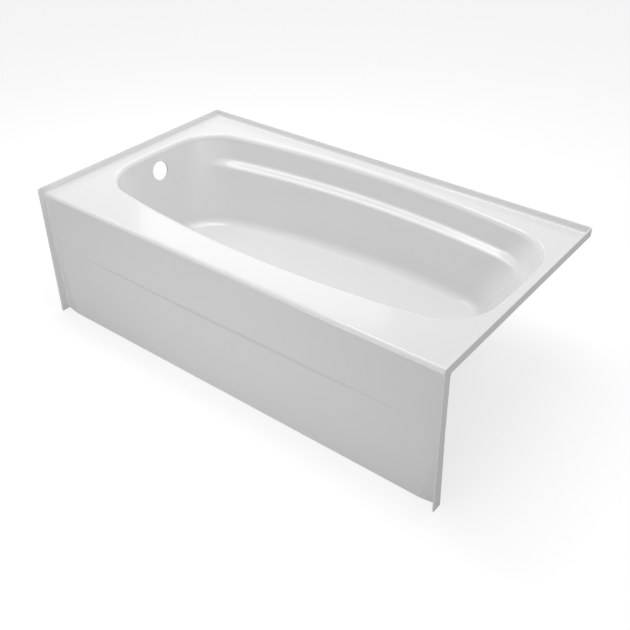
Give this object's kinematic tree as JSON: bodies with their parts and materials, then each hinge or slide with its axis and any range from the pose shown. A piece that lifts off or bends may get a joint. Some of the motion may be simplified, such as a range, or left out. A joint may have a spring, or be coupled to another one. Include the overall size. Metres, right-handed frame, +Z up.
{
  "type": "alcove bathtub",
  "caption": "Alcove bathtub with an oval ledged basin, wide front deck, flat apron with a bowed step, tiling flanges on three sides and levelling feet.",
  "frame": {"origin": "middle of the footprint, on the floor", "axes": "+X along the tub from the drain end to the backrest end, +Y from the apron to the back wall, +Z up"},
  "size_m": [1.524, 0.835, 0.4764],
  "materials": {
    "acrylic": "white, glossy, moulded",
    "fibreglass": "pale chopped-strand laminate",
    "plywood": "sanded plywood",
    "timber": "planed softwood",
    "zinc_steel": "zinc plated",
    "foot_plastic": "black moulded plastic"
  },
  "bodies": {
    "tub": {"tub_skin": "acrylic", "basin_backing": "fibreglass", "apron_backing": "fibreglass", "floor_board": "plywood", "front_deck_board": "plywood", "back_deck_board": "plywood", "drain_end_deck_board": "plywood", "rest_end_deck_board": "plywood", "upper_apron_board": "plywood", "apron_sill": "timber", "drain_end_apron_upright": "timber", "middle_apron_upright": "timber", "rest_end_apron_upright": "timber", "drain_end_rail": "zinc_steel", "rest_end_rail": "zinc_steel", "rail_screws": "zinc_steel"},
    "drain_end_front_foot": {"drain_end_front_foot_pad": "foot_plastic", "drain_end_front_foot_stud": "zinc_steel"},
    "drain_end_front_nuts": {"drain_end_front_lock_nuts": "zinc_steel"},
    "drain_end_back_foot": {"drain_end_back_foot_pad": "foot_plastic", "drain_end_back_foot_stud": "zinc_steel"},
    "drain_end_back_nuts": {"drain_end_back_lock_nuts": "zinc_steel"},
    "rest_end_front_foot": {"rest_end_front_foot_pad": "foot_plastic", "rest_end_front_foot_stud": "zinc_steel"},
    "rest_end_front_nuts": {"rest_end_front_lock_nuts": "zinc_steel"},
    "rest_end_back_foot": {"rest_end_back_foot_pad": "foot_plastic", "rest_end_back_foot_stud": "zinc_steel"},
    "rest_end_back_nuts": {"rest_end_back_lock_nuts": "zinc_steel"}
  },
  "joints": [
    {"name": "drain_end_front_nut_turn", "type": "hinge", "parent": "tub", "child": "drain_end_front_nuts", "pos_m": [-0.4, -0.24725, 0.12], "axis": [0, 0, 1], "range_deg": [0, 4320]},
    {"name": "drain_end_front_foot_travel", "type": "slide", "parent": "tub", "child": "drain_end_front_foot", "axis": [0, 0, -1], "range_m": [0, 0.018]},
    {"name": "drain_end_back_nut_turn", "type": "hinge", "parent": "tub", "child": "drain_end_back_nuts", "pos_m": [-0.4, 0.33275, 0.12], "axis": [0, 0, 1], "range_deg": [0, 4320]},
    {"name": "drain_end_back_foot_travel", "type": "slide", "parent": "tub", "child": "drain_end_back_foot", "axis": [0, 0, -1], "range_m": [0, 0.018]},
    {"name": "rest_end_front_nut_turn", "type": "hinge", "parent": "tub", "child": "rest_end_front_nuts", "pos_m": [0.4, -0.24725, 0.12], "axis": [0, 0, 1], "range_deg": [0, 4320]},
    {"name": "rest_end_front_foot_travel", "type": "slide", "parent": "tub", "child": "rest_end_front_foot", "axis": [0, 0, -1], "range_m": [0, 0.018]},
    {"name": "rest_end_back_nut_turn", "type": "hinge", "parent": "tub", "child": "rest_end_back_nuts", "pos_m": [0.4, 0.33275, 0.12], "axis": [0, 0, 1], "range_deg": [0, 4320]},
    {"name": "rest_end_back_foot_travel", "type": "slide", "parent": "tub", "child": "rest_end_back_foot", "axis": [0, 0, -1], "range_m": [0, 0.018]}
  ],
  "couplings": [
    {"joint": "drain_end_front_nut_turn", "follows": "drain_end_front_foot_travel", "rad_per_m": 4188.8},
    {"joint": "drain_end_back_nut_turn", "follows": "drain_end_back_foot_travel", "rad_per_m": 4188.8},
    {"joint": "rest_end_front_nut_turn", "follows": "rest_end_front_foot_travel", "rad_per_m": 4188.8},
    {"joint": "rest_end_back_nut_turn", "follows": "rest_end_back_foot_travel", "rad_per_m": 4188.8}
  ]
}
